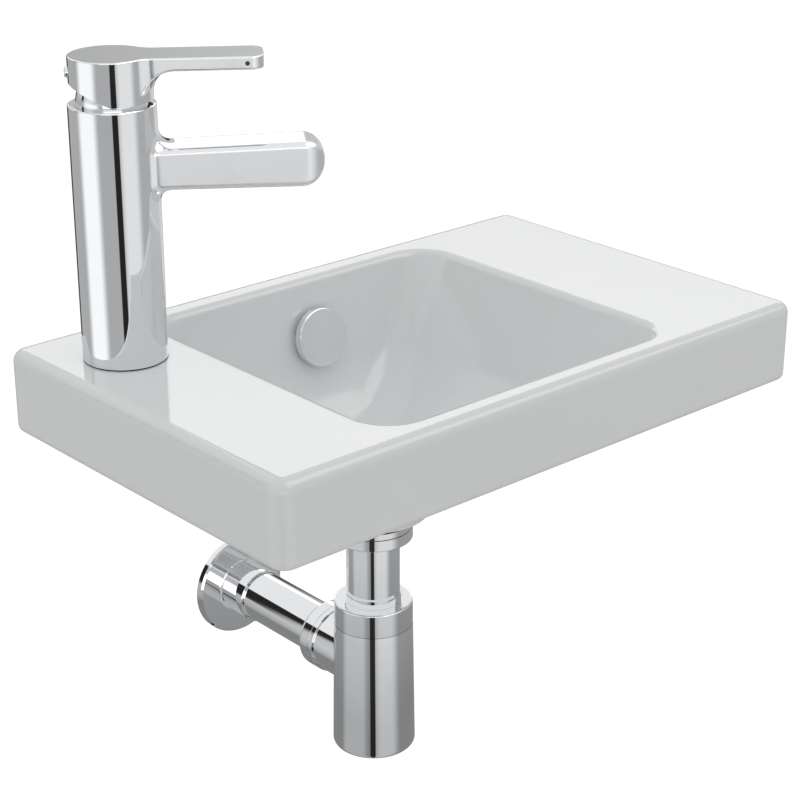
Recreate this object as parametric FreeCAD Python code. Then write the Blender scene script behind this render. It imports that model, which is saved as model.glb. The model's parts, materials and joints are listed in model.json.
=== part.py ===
"""Wall hung basin with a single-lever mixer tap, a push-open waste and a bottle trap.

Units are millimetres. X runs to the right along the wall, Y into the wall and Z up. The origin is
midway between the two wall fixings, on the wall's face. The shapes are drawn with Z = 0 at the top
of the basin's rim, and save() lowers them to the fixings' height.
"""

import os
from math import atan2, cos, pi, radians, sin, sqrt, tan

import FreeCAD
import Part

# Basin.
basin_width = 400.0
basin_depth = 250.0
apron_height = 50.0
apron_thickness = 12.0
deck_thickness = 14.0
plan_corner_radius = 10.0
top_edge_radius = 7.0
bottom_edge_radius = 4.5

# Bowl, cut into the slab off centre so that a ledge for the tap is left beside it.
bowl_left = -116.0
bowl_right = 105.0
bowl_front = -233.0
bowl_back = -20.0
bowl_floor_depth = 98.0
bowl_corner_radius = 22.0
bowl_floor_corner_radius = 24.0
bowl_thickness = 6.0
bowl_rim_radius = 5.5
bowl_sections = 16

# Each wall of the bowl leans inwards by an angle and then turns into the floor with a radius.
left_lean, left_radius = 7.0, 25.0
right_lean, right_radius = 28.8, 95.0
front_lean, front_radius = 24.5, 77.0
back_lean, back_radius = 11.3, 60.0

# Wall fixings.
fixing_spacing = 280.0
fixing_depth = 28.0
fixing_hole_radius = 8.0
fixing_bolt_hole_radius = 5.3

# Overflow.
overflow_x = 5.5
overflow_depth = 36.5
overflow_hole_radius = 11.0
overflow_cap_radius = 18.6
overflow_duct_width = 24.0
overflow_channel_width = 16.0
overflow_channel_near = 3.5
overflow_channel_far = 7.0
overflow_duct_far = 10.0

# Drain.
drain_x = -42.0
drain_y = -136.5
drain_hole_radius = 22.5
waste_flange_radius = 31.5
waste_thread_radius = 20.9
waste_bore_radius = 18.4
plug_radius = 27.0
nut_radius = 23.8

# Tap.
tap_x = -156.0
tap_y = -56.0
tap_angle = -36.0
tap_hole_radius = 17.5
column_radius = 24.0
column_top = 146.0
spout_reach = 114.0
spout_width = 27.0
spout_bottom = 99.8
spout_top_at_column = 122.6
spout_top_at_nose = 124.8
spout_edge_radius = 3.2
spout_root_radius = 9.0
aerator_x = spout_reach - 22.0
aerator_pocket_radius = 11.2
aerator_pocket_top = 106.5
inlet_thread_radius = 4.6
cap_radius = 22.7
cap_bottom = 148.4
cap_top = 172.5
lever_reach = 82.0
lever_width = 28.0
lever_thickness = 7.2
lever_root_radius = 14.0
lever_root_bite = 0.1
lever_tip_radius = 7.0
lever_lower_radius = 1.2
lever_upper_radius = 0.7
tilt_height = 147.0
skirt_cut_angle = 23.5
ball_radius = 19.4
cartridge_radius = 17.6
cartridge_seat = 119.0
disc_bottom = cartridge_seat + 5.0
disc_split = disc_bottom + 4.0
disc_top = disc_split + 4.0
slider_top = disc_top + 6.0
shoulder = 142.6
neck_top = 151.0
neck_bore = 10.0
neck_outer = 12.6
ball_cover_top = 157.4
grub_screw_height = 163.4
grub_screw_start = -9.0

# Trap.
pipe_radius = 16.0
pipe_wall = 1.2
union_top = -112.8
union_bottom = -120.0
trap_cap_top = -162.0
trap_cap_bottom = -177.0
bottle_bottom = -260.5
bottle_top_radius = 24.0
bottle_bottom_radius = 25.3
bottle_wall = 1.5
outlet_height = -204.5
boss_end = 34.0
outlet_nut_end = 47.0
wall_y = -drain_y
wall_socket_depth = 13.0
wall_flange_radius = 33.0

gap = 0.1


def vector(x, y, z):
    return FreeCAD.Vector(x, y, z)


def save(node, shape):
    lowered = shape.copy()
    lowered.translate(vector(0, 0, fixing_depth))
    lowered.exportStep("parts/" + node + ".step")


def cylinder(radius, bottom, top):
    return Part.makeCylinder(radius, top - bottom, vector(0, 0, bottom))


def tube(outer, inner, bottom, top):
    return cylinder(outer, bottom, top).cut(cylinder(inner, bottom, top))


def box(x_low, x_high, y_low, y_high, z_low, z_high):
    corner = vector(x_low, y_low, z_low)
    return Part.makeBox(x_high - x_low, y_high - y_low, z_high - z_low, corner)


def turned(outline):
    """Solid turned round the Z axis from an outline of (radius, height) points."""
    corners = [vector(radius, 0, height) for radius, height in outline]
    face = Part.Face(Part.makePolygon(corners + corners[:1]))
    return face.revolve(vector(0, 0, 0), vector(0, 0, 1), 360)


def edges_where(shape, test):
    """Edges whose middle passes a test of its coordinates."""
    found = []
    for edge in shape.Edges:
        middle = edge.CenterOfMass
        if test(middle.x, middle.y, middle.z):
            found.append(edge)
    return found


def arc_edge(start, middle, end):
    return Part.Arc(start, middle, end).toShape()


def rounded_rectangle(left, right, front, back, radius, height):
    """Closed wire of four sides and four quarter arcs at one height."""
    near = radius * (1 - sqrt(0.5))
    corners = [
        (right, back, -1, -1),
        (left, back, 1, -1),
        (left, front, 1, 1),
        (right, front, -1, 1),
    ]
    stops = []
    for index, (x, y, inward_x, inward_y) in enumerate(corners):
        along_x = vector(x + inward_x * radius, y, height)
        along_y = vector(x, y + inward_y * radius, height)
        middle = vector(x + inward_x * near, y + inward_y * near, height)
        first, last = (along_y, along_x) if index % 2 == 0 else (along_x, along_y)
        stops.append((first, middle, last))
    edges = []
    for index, (first, middle, last) in enumerate(stops):
        following = stops[(index + 1) % len(stops)][0]
        edges.append(arc_edge(first, middle, last))
        edges.append(Part.makeLine(last, following))
    return Part.Wire(edges)


def wall_centre(lean, radius):
    """Run and depth of the centre of the arc that turns a bowl wall into the floor."""
    tangent_depth = bowl_floor_depth - radius * (1 - sin(radians(lean)))
    run = tan(radians(lean)) * tangent_depth + radius * cos(radians(lean))
    return run, bowl_floor_depth - radius


def wall_run(depth, lean, radius, outwards):
    """How far a bowl wall has come in from the mouth's edge at a depth."""
    centre_run, centre_depth = wall_centre(lean, radius)
    reach = radius + outwards
    if depth <= centre_depth + reach * sin(radians(lean)):
        return tan(radians(lean)) * depth - outwards / cos(radians(lean))
    drop = min(depth - centre_depth, reach)
    return centre_run - sqrt(reach * reach - drop * drop)


def bowl_solid(outwards, top_depth):
    """The bowl's space, or with a thickness outwards its outer form, lofted through sections."""
    floor = bowl_floor_depth + outwards
    growth = (bowl_floor_corner_radius - bowl_corner_radius) / floor
    wires = []
    for step in range(bowl_sections + 1):
        share = sin(0.5 * pi * step / bowl_sections)
        depth = top_depth + (floor - top_depth) * share
        wires.append(
            rounded_rectangle(
                bowl_left + wall_run(depth, left_lean, left_radius, outwards),
                bowl_right - wall_run(depth, right_lean, right_radius, outwards),
                bowl_front + wall_run(depth, front_lean, front_radius, outwards),
                bowl_back - wall_run(depth, back_lean, back_radius, outwards),
                bowl_corner_radius + growth * depth,
                -depth,
            )
        )
    return Part.makeLoft(wires, True, False)


def back_wall_band(near, far, top_depth, front_end, width):
    """A band that follows the bowl's back wall and floor between two distances behind them."""
    lean = radians(back_lean)
    centre_run, centre_depth = wall_centre(back_lean, back_radius)
    middle_angle = 0.5 * (lean + 0.5 * pi)

    def at(run, depth):
        return vector(overflow_x - width / 2, bowl_back - run, -depth)

    def on_arc(reach, angle):
        return at(centre_run - reach * cos(angle), centre_depth + reach * sin(angle))

    edges = []
    ends = []
    for outwards in (near, far):
        reach = back_radius + outwards
        top = at(wall_run(top_depth, back_lean, back_radius, outwards), top_depth)
        tangent = on_arc(reach, lean)
        bottom = on_arc(reach, 0.5 * pi)
        front = vector(bottom.x, front_end, bottom.z)
        edges.append(Part.makeLine(top, tangent))
        edges.append(arc_edge(tangent, on_arc(reach, middle_angle), bottom))
        edges.append(Part.makeLine(bottom, front))
        ends.append((top, front))
    edges.append(Part.makeLine(ends[0][0], ends[1][0]))
    edges.append(Part.makeLine(ends[0][1], ends[1][1]))
    face = Part.Face(Part.Wire(Part.__sortEdges__(edges)))
    return face.extrude(vector(width, 0, 0))


def on_drain(shape):
    placed = shape.copy()
    placed.translate(vector(drain_x, drain_y, 0))
    return placed


def on_tap(shape):
    """Places a shape drawn with the column's axis at the origin and the spout along +X."""
    placed = shape.copy()
    placed.rotate(vector(0, 0, 0), vector(0, 0, 1), tap_angle)
    placed.translate(vector(tap_x, tap_y, 0))
    return placed


def on_overflow(shape):
    """Places a shape drawn on the back wall with Z pointing squarely into the bowl."""
    placed = shape.copy()
    placed.rotate(vector(0, 0, 0), vector(1, 0, 0), 90 - back_lean)
    wall = bowl_back - tan(radians(back_lean)) * overflow_depth
    placed.translate(vector(overflow_x, wall, -overflow_depth))
    return placed


def on_outlet(shape):
    """Places a shape turned round Z so that its axis runs from the bottle to the wall."""
    placed = shape.copy()
    placed.rotate(vector(0, 0, 0), vector(1, 0, 0), -90)
    placed.translate(vector(drain_x, drain_y, outlet_height))
    return placed


def slab():
    half = basin_width / 2
    block = box(-half, half, -basin_depth, 0, -apron_height, 0)
    upright = edges_where(block, lambda x, y, z: abs(z + apron_height / 2) < 1)
    block = block.makeFillet(plan_corner_radius, upright)
    block = block.makeFillet(top_edge_radius, edges_where(block, lambda x, y, z: z > -0.01))
    lower = edges_where(block, lambda x, y, z: z < 0.01 - apron_height)
    return block.makeFillet(bottom_edge_radius, lower)


def underside_hollow():
    side = basin_width / 2 - apron_thickness
    front = apron_thickness - basin_depth
    hollow = box(-side, side, front, -apron_thickness, -apron_height - 1, -deck_thickness)
    inner_corner = 8.0
    ceiling_radius = 3.0
    upright = edges_where(
        hollow, lambda x, y, z: -apron_height < z < -deck_thickness - 1 and abs(x) > side - 1
        and (abs(y - front) < 1 or abs(y + apron_thickness) < 1)
    )
    hollow = hollow.makeFillet(inner_corner, upright)
    ceiling = edges_where(hollow, lambda x, y, z: z > -deck_thickness - 0.01)
    return hollow.makeFillet(ceiling_radius, ceiling)


def overflow_duct():
    """Outer form of the duct that leads the overflow down the back wall to the waste hole."""
    down = back_wall_band(
        1.0, overflow_duct_far, overflow_depth - 16, drain_y - 12, overflow_duct_width
    )
    side = box(
        drain_x + 30, overflow_x, drain_y - 12, drain_y + 12,
        -bowl_floor_depth - overflow_duct_far, -bowl_floor_depth - 1,
    )
    return down.fuse(side)


def overflow_channel():
    down = back_wall_band(
        overflow_channel_near, overflow_channel_far, overflow_depth - 11,
        drain_y - 8, overflow_channel_width,
    )
    across = box(
        drain_x + 15, overflow_x + overflow_channel_width / 2, drain_y - 8, drain_y + 8,
        -bowl_floor_depth - overflow_channel_far, -bowl_floor_depth - overflow_channel_near,
    )
    return down.fuse(across)


def basin():
    waste_seat = bowl_floor_depth + 2.6
    waste_rim_underside = bowl_floor_depth + 4.8
    waste_underside = bowl_floor_depth + 8.4
    body = slab().cut(underside_hollow())
    body = body.fuse(bowl_solid(bowl_thickness, deck_thickness / 2))
    body = body.fuse(overflow_duct())
    body = body.fuse(on_drain(cylinder(33.4, -waste_rim_underside, -bowl_floor_depth + 1)))
    body = body.fuse(on_drain(cylinder(25.4, -waste_underside, -bowl_floor_depth + 1)))
    body = body.cut(bowl_solid(0.0, 0.0))
    mouth = edges_where(
        body, lambda x, y, z: z > -0.01 and bowl_left - 1 < x < bowl_right + 1
        and bowl_front - 1 < y < bowl_back + 1
    )
    body = body.makeFillet(bowl_rim_radius, mouth)
    body = body.cut(overflow_channel())
    body = body.cut(on_overflow(cylinder(overflow_hole_radius, -6.0, 4.0)))
    body = body.cut(on_drain(cylinder(waste_flange_radius + 1.0, -waste_seat, -90.0)))
    body = body.cut(on_drain(cylinder(drain_hole_radius, -120.0, -90.0)))
    body = body.cut(on_tap(cylinder(tap_hole_radius, -deck_thickness - 1, 1.0)))
    for side in (-1, 1):
        hole = Part.makeCylinder(
            fixing_hole_radius, 20.0,
            vector(side * fixing_spacing / 2, -18.0, -fixing_depth), vector(0, 1, 0),
        )
        body = body.cut(hole)
    return body


def wall_bushes():
    flange = 3.0
    flange_radius = 11.0
    length = apron_thickness + gap + flange
    profile = [
        (fixing_bolt_hole_radius, 0),
        (flange_radius, 0),
        (flange_radius, flange),
        (fixing_hole_radius - 0.2, flange),
        (fixing_hole_radius - 0.2, length),
        (fixing_bolt_hole_radius, length),
    ]
    bush = turned(profile)
    bush.rotate(vector(0, 0, 0), vector(1, 0, 0), -90)
    pair = []
    for side in (-1, 1):
        placed = bush.copy()
        placed.translate(vector(side * fixing_spacing / 2, -length, -fixing_depth))
        pair.append(placed)
    return Part.makeCompound(pair)


def overflow_insert():
    """Sleeve in the overflow hole, with a hub on three spokes that takes the cover's stem."""
    sleeve_radius = overflow_hole_radius - 0.2
    sleeve = turned([
        (9.2, -5.4), (sleeve_radius, -5.4), (sleeve_radius, gap), (13.2, gap), (13.2, 1.3), (9.2, 1.3),
    ])
    hub = cylinder(3.4, -4.0, 1.0)
    for turn in range(3):
        spoke = box(0, 9.6, -0.8, 0.8, -4.0, -0.5)
        spoke.rotate(vector(0, 0, 0), vector(0, 0, 1), 90 + 120 * turn)
        hub = hub.fuse(spoke)
    return sleeve.fuse(hub).cut(cylinder(1.9, -5.0, 2.0))


def overflow_cap():
    """Round cover that stands off the wall on a slotted skirt."""
    disc_bottom = 3.6
    disc_top = 8.4
    disc = cylinder(overflow_cap_radius, disc_bottom, disc_top)
    disc = disc.makeFillet(0.7, edges_where(disc, lambda x, y, z: z > disc_top - 0.01))
    disc = disc.cut(cylinder(overflow_cap_radius - 1.8, disc_bottom - 1, disc_bottom + 2.2))
    skirt = tube(15.6, 14.2, 0.3, disc_bottom + 3)
    for turn in range(4):
        slot = box(10, 18, -7.0, 7.0, 0, disc_bottom - 0.2)
        slot.rotate(vector(0, 0, 0), vector(0, 0, 1), 45 + 90 * turn)
        skirt = skirt.cut(slot)
    stem = cylinder(1.85, -3.6, disc_bottom + 3)
    return disc.fuse(skirt).fuse(stem)


def spout_block():
    """Side view of the spout with its round nose, trimmed by the plan view."""
    lower = 13.4
    upper = spout_top_at_nose - spout_bottom - lower
    half = spout_width / 2
    start = column_radius * 0.6
    nose = spout_reach - lower
    low = sqrt(0.5)

    def side(x, z):
        return vector(x, -half, z)

    rise = (spout_top_at_nose - spout_top_at_column) / (spout_reach - upper - column_radius)
    top_start = spout_top_at_column - rise * (column_radius - start)
    side_edges = [
        Part.makeLine(side(start, spout_bottom), side(nose, spout_bottom)),
        arc_edge(
            side(nose, spout_bottom),
            side(nose + lower * low, spout_bottom + lower * (1 - low)),
            side(spout_reach, spout_bottom + lower),
        ),
        arc_edge(
            side(spout_reach, spout_bottom + lower),
            side(spout_reach - upper * (1 - low), spout_bottom + lower + upper * low),
            side(spout_reach - upper, spout_top_at_nose),
        ),
        Part.makeLine(side(spout_reach - upper, spout_top_at_nose), side(start, top_start)),
        Part.makeLine(side(start, top_start), side(start, spout_bottom)),
    ]
    side_view = Part.Face(Part.Wire(side_edges)).extrude(vector(0, spout_width, 0))
    plan = box(start - 1, spout_reach, -half, half, spout_bottom - 1, spout_top_at_nose + 1)
    corners = edges_where(plan, lambda x, y, z: x > spout_reach - 1 and abs(y) > half - 1)
    plan = plan.makeFillet(11.0, corners)
    return side_view.common(plan)


def tap_waterways():
    """Hot and cold risers, the outlet from the cartridge, and the spout's channel."""
    channel_height = 111.0
    ways = cylinder(cartridge_radius + 0.1, cartridge_seat, column_top + 1)
    ways = ways.fuse(cylinder(20.5, 131.0, column_top + 1))
    for side in (-1, 1):
        port = cylinder(inlet_thread_radius, -8.0, 6.0)
        riser = cylinder(3.5, 5.0, cartridge_seat + 1)
        way = port.fuse(riser)
        way.translate(vector(3.0, side * 7.5, 0))
        ways = ways.fuse(way)
    outlet = cylinder(4.0, channel_height, cartridge_seat + 1)
    outlet.translate(vector(10.5, 0, 0))
    channel = Part.makeCylinder(
        5.5, spout_reach - 22 - 10.5, vector(10.5, 0, channel_height), vector(1, 0, 0)
    )
    stud_hole = cylinder(3.4, -8.0, 14.0)
    stud_hole.translate(vector(-10.5, 0, 0))
    return ways.fuse(outlet).fuse(channel).fuse(stud_hole).fuse(aerator_pocket())


def aerator_pocket():
    pocket = cylinder(aerator_pocket_radius, spout_bottom - 1, aerator_pocket_top)
    mouth = cylinder(8.0, spout_bottom - 1, 110.0)
    pocket = pocket.fuse(mouth)
    pocket.translate(vector(aerator_x, 0, 0))
    return pocket


def tap_body():
    base = 0.9
    column = cylinder(column_radius, base, column_top)
    column.rotate(vector(0, 0, 0), vector(0, 0, 1), 180)
    body = column.fuse(spout_block())
    body = body.makeFillet(spout_edge_radius, edges_where(
        body, lambda x, y, z: x > column_radius + 2
    ))
    body = body.makeFillet(spout_root_radius, edges_where(
        body, lambda x, y, z: 15 < sqrt(x * x + y * y) < column_radius + 0.5
        and x > 10 and spout_bottom - 2 < z < spout_top_at_nose + 1
    ))
    rim = edges_where(body, lambda x, y, z: z > column_top - 0.01)
    body = body.makeFillet(0.8, rim)
    spigot = cylinder(tap_hole_radius - 0.8, -6.0, base + 1)
    return body.fuse(spigot).cut(tap_waterways())


def tap_base_gasket():
    return tube(column_radius - 0.4, tap_hole_radius + 0.6, 0.05, 0.85)


def aerator_ring():
    """Round nut in the spout's pocket, with notches for a key."""
    ring = tube(aerator_pocket_radius - 0.1, 9.4, spout_bottom + 0.4, aerator_pocket_top - 1.0)
    lip = tube(9.6, 8.2, spout_bottom + 0.4, spout_bottom + 1.4)
    ring = ring.fuse(lip)
    for turn in range(4):
        notch = box(8.9, 10.2, -1.0, 1.0, spout_bottom, spout_bottom + 1.6)
        notch.rotate(vector(0, 0, 0), vector(0, 0, 1), 45 + 90 * turn)
        ring = ring.cut(notch)
    ring.translate(vector(aerator_x, 0, 0))
    return ring


def aerator_insert():
    """Plastic insert whose lower face is a honeycomb of round passages."""
    bottom = spout_bottom + 1.5
    insert = cylinder(9.3, bottom, aerator_pocket_top - 1.1)
    insert = insert.cut(cylinder(7.8, bottom + 2.0, aerator_pocket_top))
    for ring, count in ((0.0, 1), (3.1, 6), (6.0, 12)):
        for index in range(count):
            angle = 2 * pi * index / count
            hole = cylinder(1.05, bottom - 1, bottom + 3)
            hole.translate(vector(ring * cos(angle), ring * sin(angle), 0))
            insert = insert.cut(hole)
    insert.translate(vector(aerator_x, 0, 0))
    return insert


def aerator_seal():
    seal = tube(aerator_pocket_radius - 0.2, 8.3, aerator_pocket_top - 0.95, aerator_pocket_top - 0.02)
    seal.translate(vector(aerator_x, 0, 0))
    return seal


def tap_stud():
    """Threaded rod that pulls the tap down on the ledge."""
    stud = cylinder(3.3, -44.0, 13.5)
    stud = stud.makeChamfer(0.6, edges_where(stud, lambda x, y, z: z < -43.9 or z > 13.4))
    stud.translate(vector(-10.5, 0, 0))
    return stud


def horseshoe(bottom, top, outer, slot_width):
    """Plate open at the front for the hoses, with a hole for the stud at its back."""
    plate = cylinder(outer, bottom, top)
    slot = box(-2.0, outer + 1, -slot_width / 2, slot_width / 2, bottom - 1, top + 1)
    throat = edges_where(slot, lambda x, y, z: x < -1.9 and abs(y) > slot_width / 2 - 0.1)
    slot = slot.makeFillet(5.0, throat)
    hole = cylinder(3.5, bottom - 1, top + 1)
    hole.translate(vector(-10.5, 0, 0))
    return plate.cut(slot).cut(hole)


def stud_nut():
    """Long hexagonal nut under the horseshoe washer."""
    across_flats = 11.0
    corner = across_flats / sqrt(3)
    points = []
    for index in range(7):
        angle = radians(60 * index)
        points.append(vector(corner * cos(angle), corner * sin(angle), -30.0))
    nut = Part.Face(Part.makePolygon(points)).extrude(vector(0, 0, 10.3))
    nut = nut.cut(cylinder(3.4, -31.0, -18.0))
    nut.translate(vector(-10.5, 0, 0))
    return nut


# Heights inside the cartridge.


def cartridge_housing():
    """Plastic body: a base with three ports, a chamber for the discs and a bored neck."""
    inner = cartridge_radius - 2.0
    body = turned([
        (0, cartridge_seat), (cartridge_radius, cartridge_seat), (cartridge_radius, shoulder),
        (neck_outer, shoulder), (neck_outer, neck_top), (neck_bore, neck_top),
        (neck_bore, 141.0), (inner, 141.0), (inner, disc_bottom), (0, disc_bottom),
    ])
    for x, y, radius in ((3.0, -7.5, 3.2), (3.0, 7.5, 3.2), (10.5, 0.0, 3.2)):
        port = cylinder(radius, cartridge_seat - 1, disc_bottom + 1)
        port.translate(vector(x, y, 0))
        recess = cylinder(radius + 1.3, cartridge_seat - 1, cartridge_seat + 1.2)
        recess.translate(vector(x, y, 0))
        body = body.cut(port).cut(recess)
    return body


def cartridge_seals():
    """Rubber rings in the housing's base, one round each port."""
    rings = []
    for x, y in ((3.0, -7.5), (3.0, 7.5)):
        ring = tube(4.4, 3.3, cartridge_seat + 0.02, cartridge_seat + 1.15)
        ring.translate(vector(x, y, 0))
        rings.append(ring)
    outlet = tube(4.4, 3.3, cartridge_seat + 0.02, cartridge_seat + 1.15)
    outlet.translate(vector(10.5, 0, 0))
    rings.append(outlet)
    return Part.makeCompound(rings)


def fixed_disc():
    """Ceramic disc with three ports; it doesn't turn."""
    disc = cylinder(15.5, disc_bottom + 0.02, disc_split - 0.02)
    for x, y in ((3.0, -7.5), (3.0, 7.5), (10.5, 0.0)):
        port = cylinder(3.0, disc_bottom - 1, disc_split + 1)
        port.translate(vector(x, y, 0))
        disc = disc.cut(port)
    return disc


def moving_disc():
    """Smaller ceramic disc that slides and turns on the fixed one, with a mixing hollow below."""
    disc = cylinder(10.4, disc_split + 0.02, disc_top - 0.02)
    hollow = box(-7.5, 2.5, -4.5, 4.5, disc_split - 1, disc_split + 1.6)
    upright = edges_where(hollow, lambda x, y, z: abs(y) > 4.4 and (x < -7.4 or x > 2.4))
    return disc.cut(hollow.makeFillet(3.0, upright))


def disc_slider():
    """Plastic plate over the moving disc, with a socket for the stem's lower end."""
    plate = cylinder(10.4, disc_top + 0.02, slider_top)
    return plate.cut(cylinder(3.3, disc_top + 1.5, slider_top + 1))


def turning_carrier():
    """Turns in the housing's neck; its slot lets the stem tilt one way only."""
    carrier = turned([
        (0, 138.4), (14.6, 138.4), (14.6, 140.7), (neck_bore - 0.08, 140.7),
        (neck_bore - 0.08, neck_top), (0, neck_top),
    ])
    slot = box(-8.0, 8.5, -3.4, 3.4, 137.0, neck_top + 1)
    pin_hole = Part.makeCylinder(1.5, 24.0, vector(0, -12.0, tilt_height), vector(0, 1, 0))
    return carrier.cut(slot).cut(pin_hole)


def pivot_pin():
    return Part.makeCylinder(1.5, 18.0, vector(0, -9.0, tilt_height), vector(0, 1, 0))


def lever_stem():
    """Steel stem: square above for the handle, flat at the pivot, ball-ended below."""
    flat = box(-3.2, 3.2, -3.0, 3.0, 139.4, neck_top + 3.0)
    square = box(-3.5, 3.5, -3.5, 3.5, neck_top + 2.4, 167.0)
    neck = cylinder(1.9, 134.0, 140.0)
    ball = Part.makeSphere(2.9, vector(0, 0, tilt_height - 10.0))
    stem = flat.fuse(square).fuse(neck).fuse(ball)
    bore = Part.makeCylinder(1.56, 10.0, vector(0, -5.0, tilt_height), vector(0, 1, 0))
    return stem.cut(bore)


def cartridge_nut():
    """Brass ring nut that presses the cartridge on its seat."""
    ring = tube(20.4, neck_outer + 1.0, shoulder + 0.02, 145.2)
    for turn in range(6):
        hole = cylinder(1.2, 143.4, 146.0)
        hole.translate(vector(16.6, 0, 0))
        hole.rotate(vector(0, 0, 0), vector(0, 0, 1), 60 * turn)
        ring = ring.cut(hole)
    return ring


def ball_cover():
    """Chrome cover shaped as a zone of a ball about the tilt pivot, with a flat foot."""
    foot_bottom = 145.3
    foot_top = 146.1
    outer = Part.makeSphere(ball_radius, vector(0, 0, tilt_height))
    inner = Part.makeSphere(ball_radius - 1.2, vector(0, 0, tilt_height))
    zone = cylinder(ball_radius + 1, foot_bottom, ball_cover_top)
    foot = tube(20.35, ball_radius - 0.6, foot_bottom, foot_top)
    return outer.cut(inner).common(zone).fuse(foot)


def lever_outline(height):
    """Plan of the lever: round tip corners, and concave arcs that run out on the cap's side."""
    half = lever_width / 2
    reach = cap_radius - lever_root_bite + lever_root_radius
    centre_y = half + lever_root_radius
    centre_x = sqrt(reach * reach - centre_y * centre_y)
    inner_share = 1 - lever_root_radius / reach
    tip_start = lever_reach - lever_tip_radius
    tip_side = half - lever_tip_radius
    slant = lever_tip_radius * sqrt(0.5)
    edges = []
    for side in (-1, 1):
        start_angle = atan2(-side * centre_y, -centre_x)
        middle_angle = 0.5 * (start_angle - side * 0.5 * pi)
        start = vector(centre_x * inner_share, side * centre_y * inner_share, height)
        middle = vector(
            centre_x + lever_root_radius * cos(middle_angle),
            side * centre_y + lever_root_radius * sin(middle_angle),
            height,
        )
        end = vector(centre_x, side * half, height)
        corner = vector(tip_start, side * half, height)
        corner_middle = vector(tip_start + slant, side * (tip_side + slant), height)
        corner_end = vector(lever_reach, side * tip_side, height)
        edges.append(arc_edge(start, middle, end))
        edges.append(Part.makeLine(end, corner))
        edges.append(arc_edge(corner, corner_middle, corner_end))
    first, last = edges[0].Vertexes[0].Point, edges[3].Vertexes[0].Point
    edges.append(Part.makeLine(first, last))
    edges.append(Part.makeLine(edges[2].Vertexes[-1].Point, edges[5].Vertexes[-1].Point))
    return Part.Face(Part.Wire(Part.__sortEdges__(edges)))


def lever_flare():
    """Disc whose underside sweeps down in a concave arc to meet the cap all round."""
    under = cap_top - lever_thickness
    low = under - lever_root_radius
    inner = cap_radius - lever_root_bite
    outer = inner + lever_root_radius
    slant = lever_root_radius * sqrt(0.5)
    rim = lever_reach + 5
    edges = [
        Part.makeLine(vector(0, 0, low), vector(inner, 0, low)),
        arc_edge(vector(inner, 0, low), vector(outer - slant, 0, low + slant), vector(outer, 0, under)),
        Part.makeLine(vector(outer, 0, under), vector(rim, 0, under)),
        Part.makeLine(vector(rim, 0, under), vector(rim, 0, cap_top)),
        Part.makeLine(vector(rim, 0, cap_top), vector(0, 0, cap_top)),
        Part.makeLine(vector(0, 0, cap_top), vector(0, 0, low)),
    ]
    flare = Part.Face(Part.Wire(edges)).revolve(vector(0, 0, 0), vector(0, 0, 1), 360)
    flare.rotate(vector(0, 0, 0), vector(0, 0, 1), 180)
    return flare


def lever():
    low = cap_top - lever_thickness - lever_root_radius
    outline = lever_outline(low - 1).extrude(vector(0, 0, cap_top - low + 1))
    bar = lever_flare().common(outline)
    under = cap_top - lever_thickness
    bar = bar.makeFillet(lever_lower_radius, edges_where(
        bar, lambda x, y, z: x > 18 and low + 0.2 < z < under + 0.05 and not (abs(y) < 1 and x < 40)
    ))
    return bar.makeFillet(lever_upper_radius, edges_where(
        bar, lambda x, y, z: x > 16 and z > cap_top - 0.01
    ))


def handle():
    """Cap and lever in one casting, hollowed for the ball cover and the stem's hub."""
    cap = cylinder(cap_radius, cap_bottom, cap_top)
    cap.rotate(vector(0, 0, 0), vector(0, 0, 1), 180)
    cap = cap.makeFillet(lever_upper_radius, edges_where(cap, lambda x, y, z: z > cap_top - 0.01))
    body = cap.fuse(lever()).removeSplitter()
    return body.cut(handle_hollow()).cut(skirt_cut()).cut(handle_holes())


def handle_hollow():
    hollow = cylinder(ball_radius + 0.9, cap_bottom - 1, 166.5)
    hub = cylinder(6.8, 157.0, 167.5)
    socket = box(-3.6, 3.6, -3.6, 3.6, 150.0, 167.4)
    return hollow.cut(hub).fuse(socket)


def skirt_cut():
    """Wedge below the skirt's back half, so that the handle can tilt up."""
    cutter = box(-60, 0, -40, 40, cap_bottom - 40, cap_bottom)
    cutter.rotate(vector(0, 0, cap_bottom), vector(0, 1, 0), skirt_cut_angle)
    return cutter


def handle_holes():
    """Screw hole with a seat for its cover at the back, and a seat for the index dot."""
    screw = Part.makeCylinder(2.1, 24.0, vector(-26.0, 0, grub_screw_height), vector(1, 0, 0))
    seat = Part.makeCylinder(
        3.1, 2.6, vector(-cap_radius - 1.2, 0, grub_screw_height), vector(1, 0, 0)
    )
    dot = Part.makeCylinder(
        1.3, 1.0, vector(lever_reach - 9.0, -lever_width / 2 - 0.3, 168.9), vector(0, 1, 0)
    )
    return screw.fuse(seat).fuse(dot)


def grub_screw():
    """Hexagon-socket screw that presses on the stem's square."""
    end = vector(grub_screw_start, 0, grub_screw_height)
    screw = Part.makeCylinder(2.0, 5.3, end, vector(1, 0, 0))
    key = Part.makeCylinder(1.0, 2.5, end, vector(1, 0, 0))
    return screw.cut(key)


def screw_cover():
    """Domed chrome button over the screw hole."""
    outside = vector(-cap_radius - 1.6, 0, grub_screw_height)
    button = Part.makeCylinder(3.05, 3.0, outside, vector(1, 0, 0))
    button = button.makeFillet(1.2, edges_where(button, lambda x, y, z: x < -cap_radius - 1.5))
    return button


def index_dot():
    return Part.makeCylinder(
        1.25, 0.75, vector(lever_reach - 9.0, -lever_width / 2 - 0.05, 168.9), vector(0, 1, 0)
    )


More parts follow.
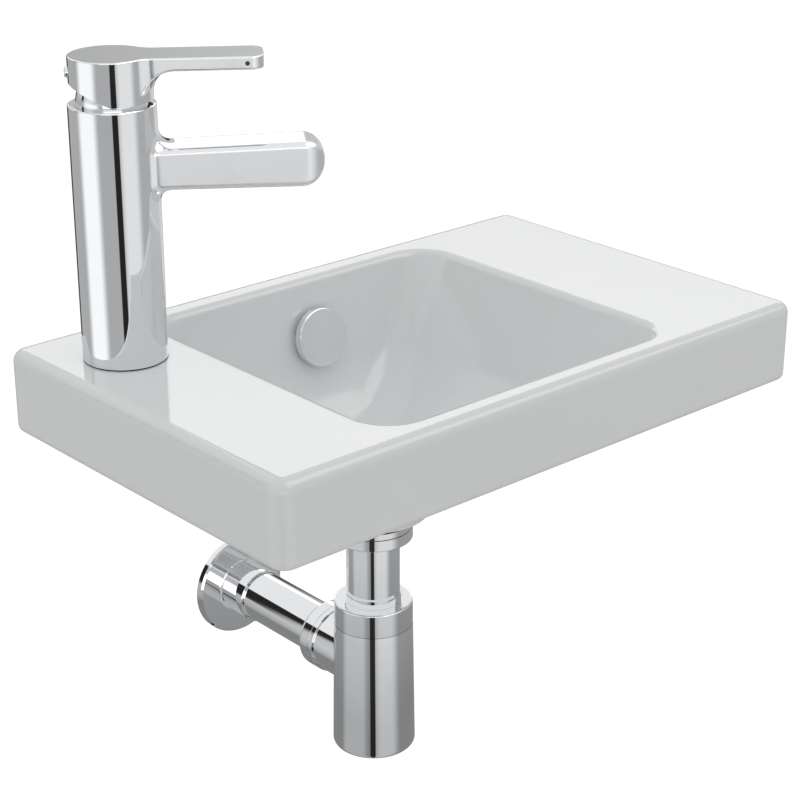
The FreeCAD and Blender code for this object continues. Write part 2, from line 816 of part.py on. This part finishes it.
def waste_body():
    """Flanged brass body with overflow slots in its wall and a dished seat for the plug."""
    floor = -bowl_floor_depth
    body = turned([
        (waste_bore_radius, -114.0), (waste_thread_radius, -114.0),
        (waste_thread_radius, floor - 1.5), (waste_flange_radius, floor - 1.5),
        (waste_flange_radius, floor + 0.3), (waste_flange_radius - 1.0, floor + 0.8),
        (28.0, floor + 0.8), (25.0, floor - 0.3), (waste_bore_radius + 1.0, floor - 0.5),
        (waste_bore_radius, floor - 1.5),
    ])
    for side in (0, 180):
        slot = box(15, 23, -7.0, 7.0, -105.0, -102.6)
        slot.rotate(vector(0, 0, 0), vector(0, 0, 1), side)
        body = body.cut(slot)
    return body


def back_nut():
    """Round nut that clamps the waste in the ceramic; its lower edge is eased."""
    nut = cylinder(nut_radius, -112.6, -108.7)
    nut = nut.makeFillet(0.5, edges_where(nut, lambda x, y, z: z < -112.5))
    return nut.cut(cylinder(waste_thread_radius + gap, -113.0, -108.0))


def plug_guide():
    """Spider pressed in the waste's bore, with the closed push mechanism at its centre."""
    rim = tube(waste_bore_radius - 0.05, waste_bore_radius - 1.6, -111.0, -106.0)
    case = cylinder(6.6, -128.0, -104.6)
    for turn in range(3):
        arm = box(5.0, waste_bore_radius - 1.0, -1.1, 1.1, -110.5, -106.5)
        arm.rotate(vector(0, 0, 0), vector(0, 0, 1), 30 + 120 * turn)
        case = case.fuse(arm)
    return rim.fuse(case).cut(cylinder(4.06, -125.0, -104.0))


def plug_cap():
    """Low domed cap that a push raises or closes."""
    top = -bowl_floor_depth + 4.6
    dome_radius = 150.0
    low = -bowl_floor_depth + 1.2
    cap = cylinder(plug_radius, low, top)
    dome = Part.makeSphere(dome_radius, vector(0, 0, top - dome_radius))
    cap = cap.common(dome)
    cap = cap.makeFillet(1.0, edges_where(cap, lambda x, y, z: z > low + 0.5))
    hub = cylinder(7.0, low - 1.4, low + 0.5)
    return cap.fuse(hub).cut(cylinder(3.0, low - 3, low + 1.6))


def plug_stem():
    """Stem from the plug down into the push mechanism."""
    low = -bowl_floor_depth + 1.2
    return cylinder(2.95, low - 2.0, low + 1.5).fuse(cylinder(4.0, -113.0, low - 1.5))


def plug_seal():
    low = -bowl_floor_depth + 1.2
    return turned([(7.1, low - 1.3), (22.0, low - 1.3), (23.6, low - 0.05), (7.1, low - 0.05)])


def union_nut():
    nut = cylinder(nut_radius, union_bottom, union_top)
    nut = nut.makeFillet(0.8, edges_where(nut, lambda x, y, z: True)[1:])
    thread = cylinder(waste_thread_radius + gap, union_bottom + 2.4, union_top + 1)
    return nut.cut(thread).cut(cylinder(pipe_radius + 0.3, union_bottom - 1, union_top))


def tailpipe():
    """Chrome pipe with a flared lip above; its lower end dips into the bottle."""
    inner = pipe_radius - pipe_wall
    dip = bottle_bottom + 26.0
    return turned([
        (inner, dip), (pipe_radius, dip), (pipe_radius, union_bottom + 2.5),
        (20.6, union_bottom + 2.5), (20.6, union_bottom + 3.9), (inner, union_bottom + 3.9),
    ])


def sliding_collar():
    """Short sleeve with a lip that hides the trap's seal round the tailpipe."""
    inner = pipe_radius + 0.05
    return turned([
        (inner, trap_cap_top + 0.05), (pipe_radius + 0.7, trap_cap_top + 0.05),
        (pipe_radius + 0.7, trap_cap_top + 5.0), (pipe_radius + 1.3, trap_cap_top + 5.3),
        (pipe_radius + 1.3, trap_cap_top + 6.0), (inner, trap_cap_top + 6.0),
    ])


def trap_cap():
    """Round nut that closes the bottle and squeezes the seal on the tailpipe."""
    radius = bottle_top_radius - 0.1
    cap = cylinder(radius, trap_cap_bottom, trap_cap_top)
    cap = cap.makeFillet(0.8, edges_where(cap, lambda x, y, z: z > trap_cap_top - 0.01))
    thread = cylinder(bottle_top_radius - 1.7, trap_cap_bottom - 1, trap_cap_top - 2.0)
    return cap.cut(thread).cut(cylinder(pipe_radius + 0.3, trap_cap_bottom, trap_cap_top + 1))


def trap_bottle():
    """Deep-drawn bottle, a little wider below, with a threaded neck and a side outlet."""
    neck = bottle_top_radius - 1.8
    outer = turned([
        (0, bottle_bottom), (bottle_bottom_radius, bottle_bottom),
        (bottle_top_radius, trap_cap_bottom - 0.2), (neck, trap_cap_bottom - 0.2),
        (neck, trap_cap_bottom + 8.0), (0, trap_cap_bottom + 8.0),
    ])
    foot = edges_where(outer, lambda x, y, z: z < bottle_bottom + 0.01)
    outer = outer.makeFillet(3.0, foot)
    boss = on_boss(turned([
        (0, 0), (20.4, 0), (20.4, boss_end - 0.2), (18.8, boss_end - 0.2),
        (18.8, boss_end + 8.0), (0, boss_end + 8.0),
    ]))
    inside = turned([
        (0, bottle_bottom + bottle_wall),
        (bottle_bottom_radius - bottle_wall, bottle_bottom + bottle_wall),
        (bottle_top_radius - 2 * bottle_wall, trap_cap_bottom - 4.0),
        (neck - bottle_wall, trap_cap_bottom - 4.0),
        (neck - bottle_wall, trap_cap_bottom + 9.0), (0, trap_cap_bottom + 9.0),
    ])
    passage = on_boss(turned([
        (0, 0), (14.6, 0), (14.6, 26.0), (pipe_radius + 0.3, 26.0),
        (pipe_radius + 0.3, boss_end + 9.0), (0, boss_end + 9.0),
    ]))
    return outer.fuse(boss).cut(inside).cut(passage)


def on_boss(shape):
    """Lays a shape turned round Z along the outlet's axis, in the bottle's own frame."""
    laid = shape.copy()
    laid.rotate(vector(0, 0, 0), vector(1, 0, 0), -90)
    laid.translate(vector(0, 0, outlet_height))
    return laid


def cap_washer():
    bottom = trap_cap_bottom + 8.1
    return tube(bottle_top_radius - 1.9, pipe_radius + 0.05, bottom, trap_cap_top - 2.1)


def union_washer():
    return tube(20.7, 16.2, -115.95, -114.05)


def outlet_nut():
    """Compression nut with a small groove round it."""
    radius = 21.4
    nut = cylinder(radius, boss_end, outlet_nut_end)
    nut = nut.makeFillet(2.4, edges_where(nut, lambda x, y, z: z > outlet_nut_end - 0.01))
    groove = tube(radius + 1, radius - 0.5, boss_end + 3.4, boss_end + 4.0)
    thread = cylinder(18.9, boss_end - 1, outlet_nut_end - 2.2)
    return nut.cut(groove).cut(thread).cut(cylinder(pipe_radius + 0.2, boss_end, outlet_nut_end + 1))


def outlet_washer():
    """Rubber ring squeezed between the boss and the outlet nut."""
    return tube(18.7, pipe_radius + 0.05, boss_end + 8.1, outlet_nut_end - 2.3)


def outlet_pipe():
    """Pipe into the wall; a fine groove marks where it enters."""
    inner = pipe_radius - pipe_wall
    start = 27.0
    end = wall_y + wall_socket_depth
    mark = wall_y + 1.0
    return turned([
        (inner, start), (pipe_radius, start), (pipe_radius, mark), (pipe_radius - 0.4, mark + 0.4),
        (pipe_radius - 0.4, mark + 0.8), (pipe_radius, mark + 1.2), (pipe_radius, end - 0.8),
        (pipe_radius - 0.8, end), (inner, end),
    ])


def wall_flange():
    """Pressed cover plate with a collar that slides on the outlet pipe."""
    face = wall_y - 5.0
    sheet = 1.4
    collar_end = wall_y - 27.0
    collar_inner = pipe_radius + 0.15
    collar_outer = pipe_radius + 1.5
    edge = 1.2
    return turned([
        (collar_inner, collar_end), (collar_outer - 0.4, collar_end),
        (collar_outer, collar_end + 0.4), (collar_outer, face - 1.1),
        (collar_outer + 0.9, face - 0.9), (collar_outer + 0.9, face),
        (wall_flange_radius - edge, face), (wall_flange_radius, face + edge),
        (wall_flange_radius, wall_y - 0.02), (wall_flange_radius - sheet, wall_y - 0.02),
        (wall_flange_radius - sheet, face + sheet), (collar_outer + 1.4, face + sheet),
        (collar_outer + 1.4, wall_y - 1.0), (collar_inner, wall_y - 1.0),
    ])


def flange_ring():
    """Rubber ring behind the collar that grips the pipe."""
    return tube(pipe_radius + 1.6, pipe_radius + 0.02, wall_y - 0.9, wall_y - 0.05)


def main():
    os.makedirs("parts", exist_ok=True)
    save("basin", basin())
    save("wall_bushes", wall_bushes())
    save("overflow_insert", on_overflow(overflow_insert()))
    save("overflow_cap", on_overflow(overflow_cap()))

    save("tap_body", on_tap(tap_body()))
    save("tap_base_gasket", on_tap(tap_base_gasket()))
    save("tap_stud", on_tap(tap_stud()))
    save("clamp_gasket", on_tap(horseshoe(-16.8, -14.05, 22.5, 31.0)))
    save("clamp_washer", on_tap(horseshoe(-19.6, -16.85, 22.5, 31.0)))
    save("stud_nut", on_tap(stud_nut()))
    save("aerator_ring", on_tap(aerator_ring()))
    save("aerator_insert", on_tap(aerator_insert()))
    save("aerator_seal", on_tap(aerator_seal()))

    save("cartridge_housing", on_tap(cartridge_housing()))
    save("cartridge_seals", on_tap(cartridge_seals()))
    save("fixed_disc", on_tap(fixed_disc()))
    save("moving_disc", on_tap(moving_disc()))
    save("disc_slider", on_tap(disc_slider()))
    save("turning_carrier", on_tap(turning_carrier()))
    save("pivot_pin", on_tap(pivot_pin()))
    save("lever_stem", on_tap(lever_stem()))
    save("cartridge_nut", on_tap(cartridge_nut()))
    save("ball_cover", on_tap(ball_cover()))
    save("handle", on_tap(handle()))
    save("grub_screw", on_tap(grub_screw()))
    save("screw_cover", on_tap(screw_cover()))
    save("index_dot", on_tap(index_dot()))

    save("waste_body", on_drain(waste_body()))
    save("waste_top_gasket", on_drain(tube(31.0, 21.1, -100.55, -99.55)))
    save("waste_lower_gasket", on_drain(tube(23.6, 21.1, -108.6, -106.45)))
    save("back_nut", on_drain(back_nut()))
    save("plug_guide", on_drain(plug_guide()))
    save("plug_cap", on_drain(plug_cap()))
    save("plug_stem", on_drain(plug_stem()))
    save("plug_seal", on_drain(plug_seal()))

    save("union_nut", on_drain(union_nut()))
    save("union_washer", on_drain(union_washer()))
    save("tailpipe", on_drain(tailpipe()))
    save("sliding_collar", on_drain(sliding_collar()))
    save("trap_cap", on_drain(trap_cap()))
    save("cap_washer", on_drain(cap_washer()))
    save("trap_bottle", on_drain(trap_bottle()))
    save("outlet_nut", on_outlet(outlet_nut()))
    save("outlet_washer", on_outlet(outlet_washer()))
    save("outlet_pipe", on_outlet(outlet_pipe()))
    save("wall_flange", on_outlet(wall_flange()))
    save("flange_ring", on_outlet(flange_ring()))


main()
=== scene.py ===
"""Looks of a wall hung basin with its mixer tap, waste and bottle trap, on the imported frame."""

import json

import bmesh
import bpy
from math import pi, radians
from mathutils import Matrix, Vector


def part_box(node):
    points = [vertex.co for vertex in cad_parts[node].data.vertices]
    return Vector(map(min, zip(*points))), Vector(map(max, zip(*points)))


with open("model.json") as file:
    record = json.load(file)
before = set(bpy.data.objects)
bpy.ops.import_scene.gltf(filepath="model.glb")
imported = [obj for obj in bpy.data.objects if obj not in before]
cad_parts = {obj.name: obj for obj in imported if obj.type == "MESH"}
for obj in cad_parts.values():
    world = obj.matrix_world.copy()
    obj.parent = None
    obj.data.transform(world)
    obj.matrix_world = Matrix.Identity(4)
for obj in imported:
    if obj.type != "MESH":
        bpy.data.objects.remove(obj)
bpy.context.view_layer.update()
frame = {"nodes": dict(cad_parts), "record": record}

# Camera, found from the slab's edges in the photograph.
camera_place = Vector((-0.7436, -0.9482, 0.4381))
camera_back = Vector((-0.6148, -0.6901, 0.3819))
camera_lens = 90.33
camera_sensor = 36.0
camera_reach = 200.0

# A rim is usually hung 850 mm above the floor, and the rim is 28 mm above the frame's origin.
floor_height = 0.028 - 0.85
floor_radius = 40.0
floor_grey = 0.62
floor_glow = 0.62
floor_bounce = 0.85

# The basin's back is bare clay: Y where the glaze begins to fade, and where it has gone.
glaze_fades, glaze_gone = -0.0012, -0.0004
clay_roughness = 0.8

# Plating, with the share of its tone that its dullest spots keep.
chrome_tone = (0.86, 0.87, 0.885)
dull_share = 0.965
mirror_roughness = (0.025, 0.05)

# The tap's upright axis, through the middle of the nut that holds its cartridge.
nut_low, nut_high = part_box("cartridge_nut")
tap_axis = ((nut_low[0] + nut_high[0]) / 2, (nut_low[1] + nut_high[1]) / 2)

# Distance from that axis at which a casting's arm begins, and at which it is fully softer.
arm_begins, arm_full = 0.0242, 0.0290

# Upward part of a face's normal up to which it counts as a side, and from which as a top.
side_slope, top_slope = 0.45, 0.85

# Roughness of the arms' sides, and how far it varies to either side.
spout_roughness = 0.37
lever_roughness = 0.25
roughness_spread = 0.02

# Light of the tent on dull surfaces, from the horizon to the top of the room.
horizon_light = 0.50
overhead_light = 0.84

# The studio's walls at three heights, as polished metal mirrors them. Each wall has a plain tone
# and some panels and dark gaps: middle bearing, width and soft edge in degrees, and tone.
low_wall = 0.25
low_panels = (
    (170, 70, 20, 0.45),
    (-95, 60, 30, 0.55),
    (-134, 15, 2, 0.02),
)
middle_wall = 0.45
middle_panels = (
    (165, 50, 20, 1.1),
    (-85, 45, 20, 0.85),
    (30, 40, 20, 0.7),
    (-118, 15, 2, 0.02),
    (73, 25, 5, 0.05),
)
high_wall = 0.6
high_panels = (
    (160, 30, 20, 0.85),
    (70, 30, 10, 0.45),
    (131, 10, 2, 0.02),
)
ceiling_tone = 0.92

# Heights on the tent run from -1 under the object to 1 over it. One wall turns into the next
# between the two heights of each pair.
low_to_middle = (-0.43, -0.36)
middle_to_high = (-0.10, 0.02)
high_to_ceiling = (0.43, 0.46)

# The low wall is brighter by these factors from its foot upwards.
low_wall_lift = (1.0, 1.4)
low_lift_heights = (-0.50, -0.455)

# Patches on the walls, each by the soft edges of its left, right, foot and head: the light box
# high on the right, the one behind the camera, a dark gap, and the bright panel behind the object
# that the glaze mirrors, whose tone grows with height.
high_box = ((-100, -85), (-20, -8), (0.50, 0.62), (0.93, 0.97))
high_box_tone = 3.0
front_box = ((-158, -146), (-98, -88), (-0.215, -0.17), (0.20, 0.30))
front_box_tone = 1.7
back_gap = ((42, 45), (58, 62), (-0.47, -0.42), (0.10, 0.14))
back_gap_tone = 0.05
back_panel = ((14, 24), (66, 76), (0.235, 0.262), (0.43, 0.46))
back_panel_tones = (1.25, 2.85)
back_panel_heights = (0.25, 0.46)


# ---------------------------------------------------------------- helpers


class Nodes:
    """Short ways to add nodes to one tree. A value is an output socket or a constant."""

    def __init__(self, tree):
        self.tree = tree

    def add(self, kind, **settings):
        node = self.tree.nodes.new(kind)
        for key, value in settings.items():
            setattr(node, key, value)
        return node

    def feed(self, value, target):
        """Links an output to an input, or sets a constant on it; a number is a grey."""
        if isinstance(value, bpy.types.NodeSocket):
            self.tree.links.new(value, target)
        elif target.type == "RGBA":
            colour = (value, value, value) if isinstance(value, float) else value
            target.default_value = (*colour, 1.0)
        else:
            target.default_value = value

    def math(self, operation, *values):
        node = self.add("ShaderNodeMath", operation=operation)
        for value, target in zip(values, node.inputs):
            self.feed(value, target)
        return node.outputs[0]

    def spread(self, value, low, high, from_low=0.3, from_high=0.7):
        """Maps a noise or mask to a range of values."""
        node = self.add("ShaderNodeMapRange")
        node.inputs["From Min"].default_value = from_low
        node.inputs["From Max"].default_value = from_high
        node.inputs["To Min"].default_value = low
        node.inputs["To Max"].default_value = high
        self.feed(value, node.inputs["Value"])
        return node.outputs["Result"]

    def steps(self, value, low, high):
        """Runs smoothly from 0 to 1 between two values."""
        node = self.add("ShaderNodeMapRange", interpolation_type="SMOOTHSTEP")
        node.inputs["From Min"].default_value = low
        node.inputs["From Max"].default_value = high
        self.feed(value, node.inputs["Value"])
        return node.outputs["Result"]

    def blend_values(self, mask, first, second):
        node = self.add("ShaderNodeMix", data_type="FLOAT")
        for value, place in ((mask, 0), (first, 2), (second, 3)):
            self.feed(value, node.inputs[place])
        return node.outputs[0]

    def blend_colours(self, mask, first, second):
        node = self.add("ShaderNodeMix", data_type="RGBA")
        for value, place in ((mask, 0), (first, 6), (second, 7)):
            self.feed(value, node.inputs[place])
        return node.outputs[2]


class Surface(Nodes):
    """One material with its shader."""

    def __init__(self, name):
        self.material = bpy.data.materials.new(name)
        self.material.use_nodes = True
        super().__init__(self.material.node_tree)
        self.shader = self.tree.nodes["Principled BSDF"]
        source = self.add("ShaderNodeTexCoord")
        self.place = source.outputs["Object"]
        self.normal = source.outputs["Normal"]

    def set(self, **values):
        """Sets sockets of the shader, written with _ for a space."""
        for key, value in values.items():
            self.feed(value, self.shader.inputs[key.replace("_", " ")])

    def noise(self, scale, detail=2.0, roughness=0.5, stretch=None):
        node = self.add("ShaderNodeTexNoise")
        node.inputs["Scale"].default_value = scale
        node.inputs["Detail"].default_value = detail
        node.inputs["Roughness"].default_value = roughness
        source = self.place
        if stretch:
            mapping = self.add("ShaderNodeMapping")
            mapping.inputs["Scale"].default_value = stretch
            self.feed(self.place, mapping.inputs["Vector"])
            source = mapping.outputs["Vector"]
        self.feed(source, node.inputs["Vector"])
        return node.outputs["Fac"]

    def mottled(self, scale, detail, first, second):
        """Two colours in soft spots."""
        spots = self.spread(self.noise(scale, detail), 0.0, 1.0)
        return self.blend_colours(spots, first, second)

    def part_of(self, vector, axis):
        node = self.add("ShaderNodeSeparateXYZ")
        self.feed(vector, node.inputs["Vector"])
        return node.outputs[axis]

    def distance_from(self, axis):
        """Distance from an upright axis through a point."""
        centred = self.add("ShaderNodeMapping")
        centred.inputs["Scale"].default_value = (1, 1, 0)
        centred.inputs["Location"].default_value = (-axis[0], -axis[1], 0)
        self.feed(self.place, centred.inputs["Vector"])
        length = self.add("ShaderNodeVectorMath", operation="LENGTH")
        self.feed(centred.outputs["Vector"], length.inputs[0])
        return length.outputs["Value"]

    def bump(self, height, strength, distance):
        node = self.add("ShaderNodeBump")
        node.inputs["Strength"].default_value = strength
        node.inputs["Distance"].default_value = distance
        self.feed(height, node.inputs["Height"])
        self.set(Normal=node.outputs["Normal"])


class Tent(Nodes):
    """The world's nodes, with masks by bearing and height."""

    def __init__(self, name):
        world = bpy.data.worlds.new(name)
        bpy.context.scene.world = world
        world.use_nodes = True
        super().__init__(world.node_tree)
        split = self.add("ShaderNodeSeparateXYZ")
        self.feed(self.add("ShaderNodeTexCoord").outputs["Generated"], split.inputs[0])
        self.height = split.outputs["Z"]
        self.bearing = self.math("ARCTAN2", split.outputs["Y"], split.outputs["X"])

    def beside(self, middle, width, edge):
        """Mask of the walls' stretch round one bearing, also across the back of the room."""
        offset = self.math("SUBTRACT", self.bearing, radians(middle))
        away = self.math("ABSOLUTE", self.math("WRAP", offset, pi, -pi))
        return self.steps(away, radians((width + edge) / 2), radians((width - edge) / 2))

    def walls(self, plain, panels):
        tone = plain
        for middle, width, edge, panel_tone in panels:
            tone = self.blend_colours(self.beside(middle, width, edge), tone, panel_tone)
        return tone

    def patch(self, left, right, foot, head):
        """Mask of one rectangle of the walls with soft edges, by bearing and height."""
        from_left = self.steps(self.bearing, radians(left[0]), radians(left[1]))
        to_right = self.steps(self.bearing, radians(right[1]), radians(right[0]))
        from_foot = self.steps(self.height, foot[0], foot[1])
        to_head = self.steps(self.height, head[1], head[0])
        across = self.math("MULTIPLY", from_left, to_right)
        upwards = self.math("MULTIPLY", from_foot, to_head)
        return self.math("MULTIPLY", across, upwards)

    def rising(self, tones, heights):
        """Tone that grows with height."""
        return self.spread(self.height, *tones, *heights)

    def brighter(self, tone, times):
        node = self.add("ShaderNodeVectorMath", operation="SCALE")
        self.feed(tone, node.inputs[0])
        self.feed(times, node.inputs["Scale"])
        return node.outputs["Vector"]


# ---------------------------------------------------------------- finishes


def glazed_ceramic():
    """White glaze; the back that meets the wall is bare fired clay."""
    surface = Surface("glazed_ceramic")
    depth = surface.part_of(surface.place, "Y")
    bare = surface.spread(depth, 0.0, 1.0, glaze_fades, glaze_gone)
    tone = surface.mottled(9.0, 2.0, (0.836, 0.846, 0.853), (0.852, 0.859, 0.863))
    clay = surface.mottled(420.0, 4.0, (0.66, 0.62, 0.55), (0.74, 0.71, 0.65))
    glaze = surface.spread(surface.noise(14.0), 0.07, 0.11)
    surface.set(
        Base_Color=surface.blend_colours(bare, tone, clay),
        Roughness=surface.blend_values(bare, glaze, clay_roughness),
        IOR=1.5,
    )
    surface.bump(surface.noise(28.0, 1.0), 0.05, 0.0006)
    return surface.material


def plated(name):
    """Bright plating with the faintest haze and unevenness of polished castings and tube."""
    surface = Surface(name)
    dull_tone = tuple(dull_share * channel for channel in chrome_tone)
    haze = surface.spread(surface.noise(60.0, 4.0, 0.6), *mirror_roughness)
    surface.set(
        Base_Color=surface.mottled(35.0, 3.0, dull_tone, chrome_tone),
        Roughness=haze,
        Metallic=1.0,
    )
    surface.bump(surface.noise(22.0, 1.0), 0.03, 0.0003)
    return surface, haze


def casting_chrome(name, side_roughness):
    """Plating of the tap's castings, whose arms' sides reflect as softly as in the photograph."""
    surface, mirror = plated(name)
    arm = surface.spread(surface.distance_from(tap_axis), 0.0, 1.0, arm_begins, arm_full)
    slope = surface.math("ABSOLUTE", surface.part_of(surface.normal, "Z"))
    upright = surface.spread(slope, 1.0, 0.0, side_slope, top_slope)
    satin = surface.spread(
        surface.noise(60.0, 4.0, 0.6),
        side_roughness - roughness_spread, side_roughness + roughness_spread,
    )
    side = surface.math("MULTIPLY", arm, upright)
    surface.set(Roughness=surface.blend_values(side, mirror, satin))
    return surface.material


def turned_brass():
    surface = Surface("brass")
    rings = surface.noise(240.0, 2.0, 0.5, (0.05, 0.05, 9.0))
    surface.set(
        Base_Color=surface.mottled(90.0, 3.0, (0.66, 0.49, 0.22), (0.79, 0.63, 0.34)),
        Roughness=surface.spread(rings, 0.18, 0.34),
        Metallic=1.0,
    )
    surface.bump(rings, 0.2, 0.0002)
    return surface.material


def satin_steel():
    surface = Surface("steel")
    grain = surface.noise(300.0, 2.0, 0.5, (1.0, 1.0, 0.08))
    surface.set(
        Base_Color=surface.mottled(120.0, 4.0, (0.50, 0.51, 0.52), (0.63, 0.64, 0.65)),
        Roughness=surface.spread(grain, 0.24, 0.4),
        Metallic=1.0,
    )
    surface.bump(grain, 0.15, 0.0002)
    return surface.material


def moulded(name, dark, light, low_roughness, high_roughness, grain):
    """Plastic, rubber or lapped ceramic: a mottled tone, an uneven sheen and a fine grain."""
    surface = Surface(name)
    sheen = surface.spread(surface.noise(160.0, 3.0), low_roughness, high_roughness)
    surface.set(Base_Color=surface.mottled(70.0, 3.0, dark, light), Roughness=sheen)
    surface.bump(surface.noise(900.0, 2.0), grain, 0.0002)
    return surface.material


def make_finishes():
    return {
        "glazed_ceramic": glazed_ceramic(),
        "chrome": plated("chrome")[0].material,
        "brass": turned_brass(),
        "steel": satin_steel(),
        "rubber": moulded("rubber", (0.018, 0.018, 0.018), (0.04, 0.04, 0.04), 0.55, 0.75, 0.25),
        "white_plastic": moulded(
            "white_plastic", (0.72, 0.72, 0.70), (0.80, 0.80, 0.78), 0.35, 0.5, 0.1
        ),
        "disc_ceramic": moulded(
            "disc_ceramic", (0.80, 0.79, 0.75), (0.88, 0.87, 0.84), 0.18, 0.3, 0.05
        ),
        "dark_plastic": moulded(
            "dark_plastic", (0.012, 0.012, 0.014), (0.03, 0.03, 0.035), 0.2, 0.35, 0.05
        ),
    }


# ---------------------------------------------------------------- pieces


def dress_nodes(finishes):
    """Gives every carried-over node its finish, and the tap's castings their own polish."""
    slots = {entry["node"]: entry["material_slot"] for entry in frame["record"]["subparts"]}
    own_finish = {
        "tap_body": casting_chrome("spout_chrome", spout_roughness),
        "handle": casting_chrome("lever_chrome", lever_roughness),
    }
    for name, node in frame["nodes"].items():
        node.data.materials.clear()
        node.data.materials.append(own_finish.get(name) or finishes[slots[name]])


# ---------------------------------------------------------------- floor, light and camera


def pale_floor():
    """Pale disc. The camera sees it lit from within as well, so it stays pale to its edge."""
    mesh = bpy.data.meshes.new("floor")
    shape = bmesh.new()
    bmesh.ops.create_circle(
        shape, cap_ends=True, segments=64, radius=floor_radius,
        matrix=Matrix.Translation((0, 0, floor_height)),
    )
    shape.to_mesh(mesh)
    shape.free()
    floor = bpy.data.objects.new("floor", mesh)
    bpy.context.scene.collection.objects.link(floor)
    surface = Surface("pale_floor")
    diffuse = surface.add("ShaderNodeBsdfDiffuse")
    surface.feed(floor_grey, diffuse.inputs["Color"])
    glow = surface.add("ShaderNodeEmission")
    surface.feed(1.0, glow.inputs["Color"])
    surface.feed(floor_glow, glow.inputs["Strength"])
    bounce = surface.add("ShaderNodeBsdfDiffuse")
    surface.feed(floor_bounce, bounce.inputs["Color"])
    seen = surface.add("ShaderNodeAddShader")
    surface.feed(diffuse.outputs[0], seen.inputs[0])
    surface.feed(glow.outputs[0], seen.inputs[1])
    path = surface.add("ShaderNodeLightPath")
    choice = surface.add("ShaderNodeMixShader")
    surface.feed(path.outputs["Is Camera Ray"], choice.inputs[0])
    surface.feed(bounce.outputs[0], choice.inputs[1])
    surface.feed(seen.outputs[0], choice.inputs[2])
    surface.feed(choice.outputs[0], surface.tree.nodes["Material Output"].inputs["Surface"])
    floor.data.materials.append(surface.material)
    floor.visible_glossy = False


def studio():
    """Light tent. Polished metal mirrors its panels and the dark gaps between them."""
    tent = Tent("studio")
    lift = tent.rising(low_wall_lift, low_lift_heights)
    mirrored = tent.brighter(tent.walls(low_wall, low_panels), lift)
    for heights, upper in (
        (low_to_middle, tent.walls(middle_wall, middle_panels)),
        (middle_to_high, tent.walls(high_wall, high_panels)),
        (high_to_ceiling, ceiling_tone),
    ):
        mirrored = tent.blend_colours(tent.steps(tent.height, *heights), mirrored, upper)
    for place, tone in (
        (high_box, high_box_tone),
        (front_box, front_box_tone),
        (back_gap, back_gap_tone),
        (back_panel, tent.rising(back_panel_tones, back_panel_heights)),
    ):
        mirrored = tent.blend_colours(tent.patch(*place), mirrored, tone)
    path = tent.add("ShaderNodeLightPath")
    plain = tent.rising((horizon_light, overhead_light), (0.0, 1.0))
    seen = tent.blend_colours(path.outputs["Is Glossy Ray"], plain, mirrored)
    seen = tent.blend_colours(path.outputs["Is Camera Ray"], seen, 1.0)
    background = tent.tree.nodes["Background"]
    tent.feed(seen, background.inputs["Color"])
    tent.feed(1.0, background.inputs["Strength"])


def photograph_camera():
    data = bpy.data.cameras.new("camera")
    data.lens = camera_lens
    data.sensor_width = camera_sensor
    data.clip_end = camera_reach
    camera = bpy.data.objects.new("camera", data)
    bpy.context.scene.collection.objects.link(camera)
    camera.location = camera_place
    camera.rotation_euler = (-camera_back).to_track_quat("-Z", "Y").to_euler()
    bpy.context.scene.camera = camera


bpy.context.scene.view_settings.view_transform = "Standard"
dress_nodes(make_finishes())
pale_floor()
studio()
photograph_camera()
